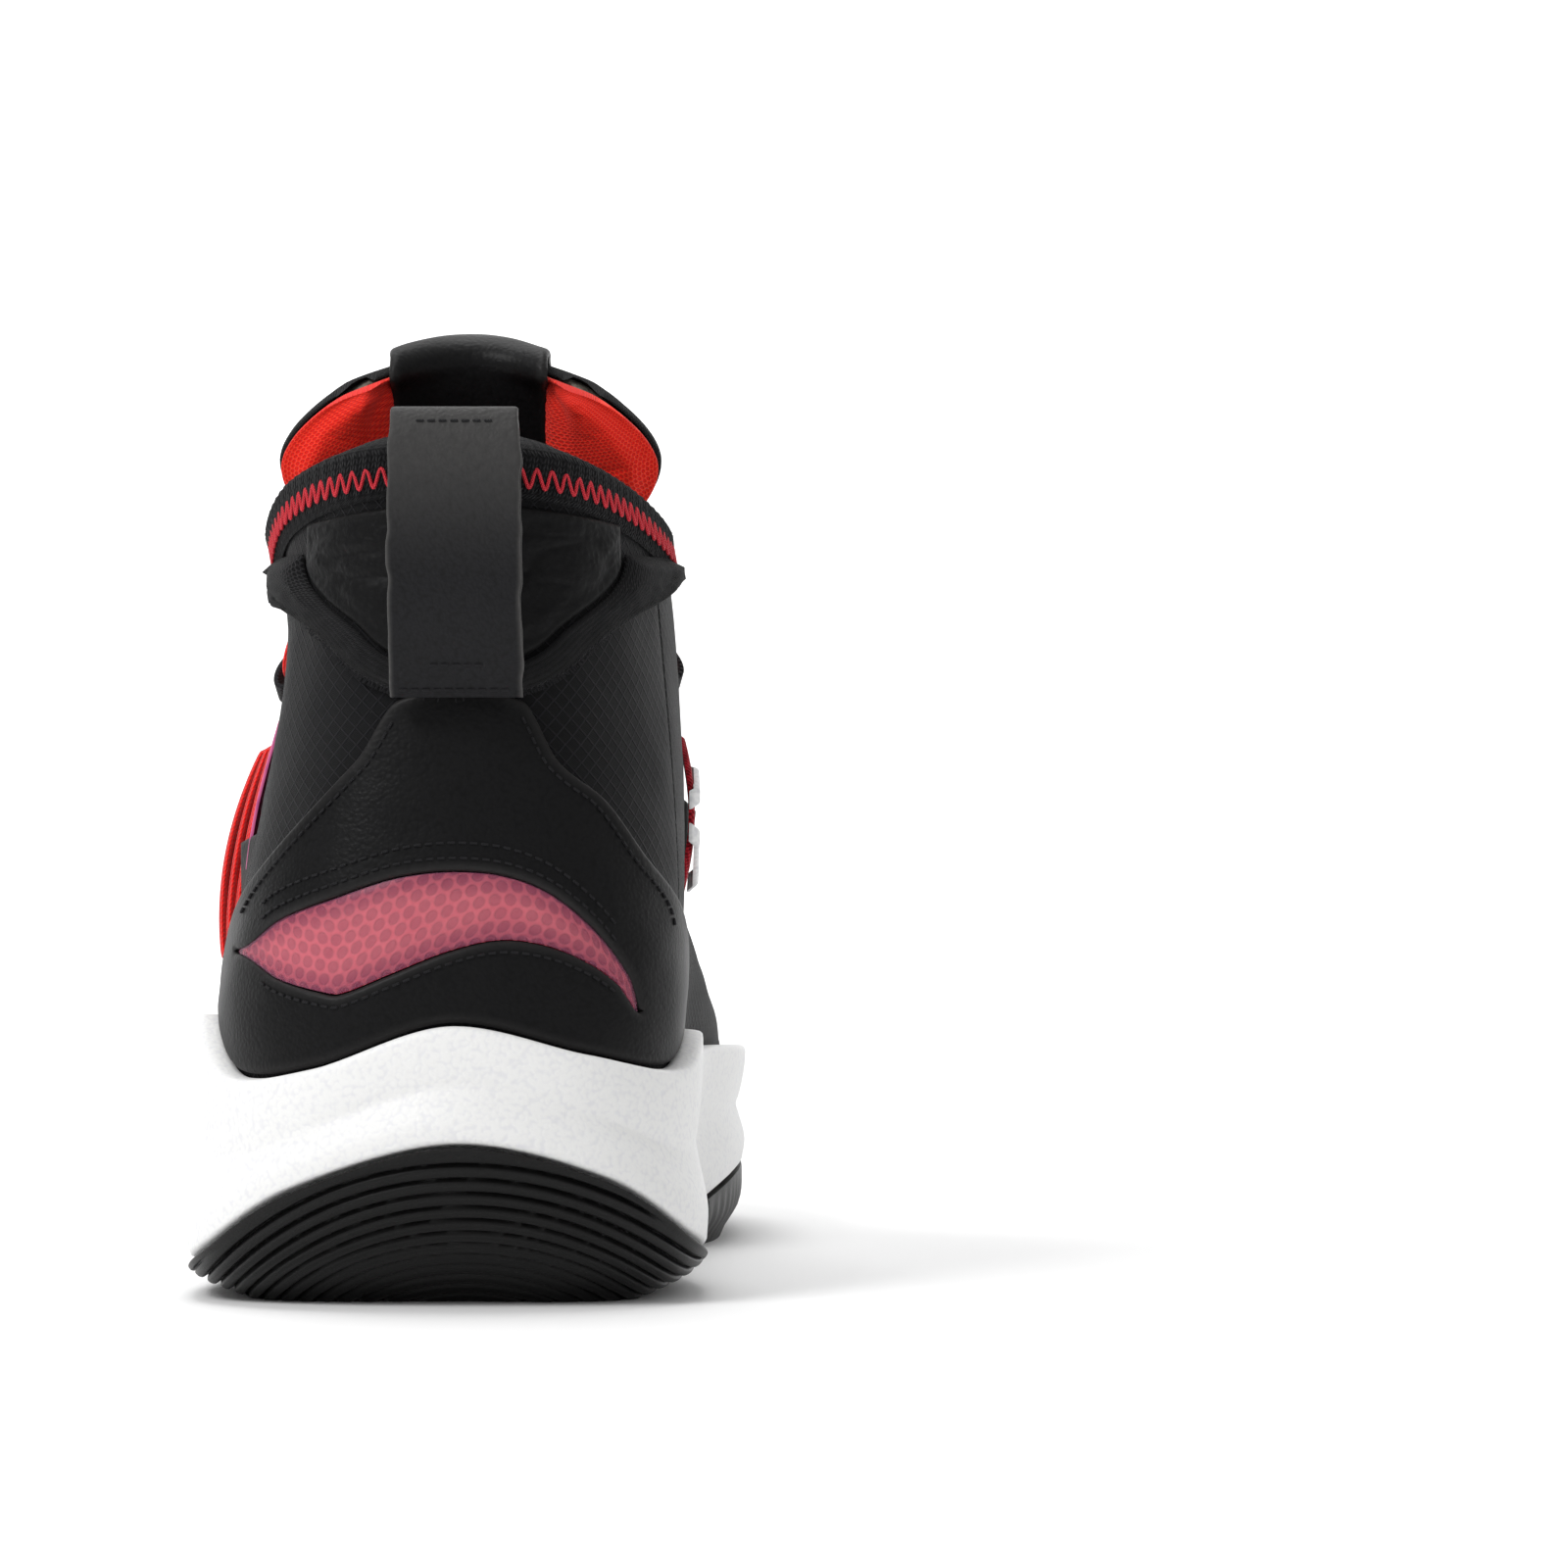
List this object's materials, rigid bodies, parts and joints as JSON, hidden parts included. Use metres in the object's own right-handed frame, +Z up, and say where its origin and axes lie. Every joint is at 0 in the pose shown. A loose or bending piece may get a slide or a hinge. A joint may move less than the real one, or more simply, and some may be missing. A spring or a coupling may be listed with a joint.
{
  "type": "basketball high top",
  "caption": "Left high-top basketball shoe: cupped foam midsole, bevelled ribbed rubber outsole, laced upper, hinged tongue flap and heel pull loop.",
  "frame": {"origin": "middle of the base, on the ground under the centre of the shoe's bounding box", "axes": "+Z up, +Y from the heel to the toe, +X to the inner (medial) side of the left foot"},
  "size_m": [0.1116, 0.2986, 0.1796],
  "materials": {
    "rubber": "satin",
    "foam": "matte",
    "plate": "satin",
    "board": "matte",
    "insole": "matte",
    "lining": "matte",
    "stiffener": "matte",
    "padding": "matte",
    "ripstop": "matte",
    "leather": "satin",
    "strap": "satin",
    "window": "matte",
    "film": "satin",
    "mesh": "matte",
    "knit": "matte",
    "webbing": "matte",
    "lace": "matte",
    "white": "matte",
    "red": "matte"
  },
  "bodies": {
    "shoe": {"heel_outsole": "rubber", "forefoot_outsole": "rubber", "arch_plate": "plate", "midsole": "foam", "lasting_board": "board", "insole": "insole", "heel_panel": "ripstop", "quarter_lateral": "ripstop", "quarter_medial": "ripstop", "vamp": "mesh", "bootie_lining": "lining", "heel_stiffener": "stiffener", "toe_puff": "stiffener", "collar_pad_lateral": "padding", "collar_pad_heel": "padding", "collar_pad_medial": "padding", "heel_overlay": "leather", "heel_window_mesh": "window", "heel_window_film": "film", "mesh_binding": "mesh", "achilles_panel": "leather", "collar_band": "knit", "eyestay_lateral": "leather", "eyestay_medial": "leather", "toe_cap": "leather", "throat_patch": "leather", "webbing_lateral": "webbing", "film_wing_lateral": "film", "tab_lateral": "leather", "webbing_medial": "webbing", "bar_medial_upper": "white", "bar_medial_lower": "white", "tab_medial": "leather", "tongue_base": "knit", "tongue_base_lining": "red", "lace": "lace", "lace_loop_lateral_1": "webbing", "lace_loop_medial_1": "webbing", "lace_loop_lateral_2": "webbing", "lace_loop_medial_2": "webbing", "lace_loop_lateral_3": "webbing", "lace_loop_medial_3": "webbing", "lace_loop_lateral_4": "webbing", "lace_loop_medial_4": "webbing", "lace_loop_lateral_5": "webbing", "lace_loop_medial_5": "webbing"},
    "tongue_flap": {"tongue_cover": "knit", "tongue_foam": "padding", "tongue_lining": "red", "tongue_pull_tab": "leather"},
    "pull_loop": {"heel_pull_loop": "strap"}
  },
  "joints": [
    {"name": "tongue_fold", "type": "hinge", "parent": "shoe", "child": "tongue_flap", "pos_m": [0.00428, -0.04178, 0.1295], "axis": [-1, 0, 0], "range_deg": [-6, 35], "stiffness_Nm_per_rad": 0.15},
    {"name": "pull_loop_flex", "type": "hinge", "parent": "shoe", "child": "pull_loop", "pos_m": [0.00428, -0.13858, 0.1089], "axis": [1, 0, 0], "range_deg": [0, 55], "stiffness_Nm_per_rad": 0.02}
  ]
}
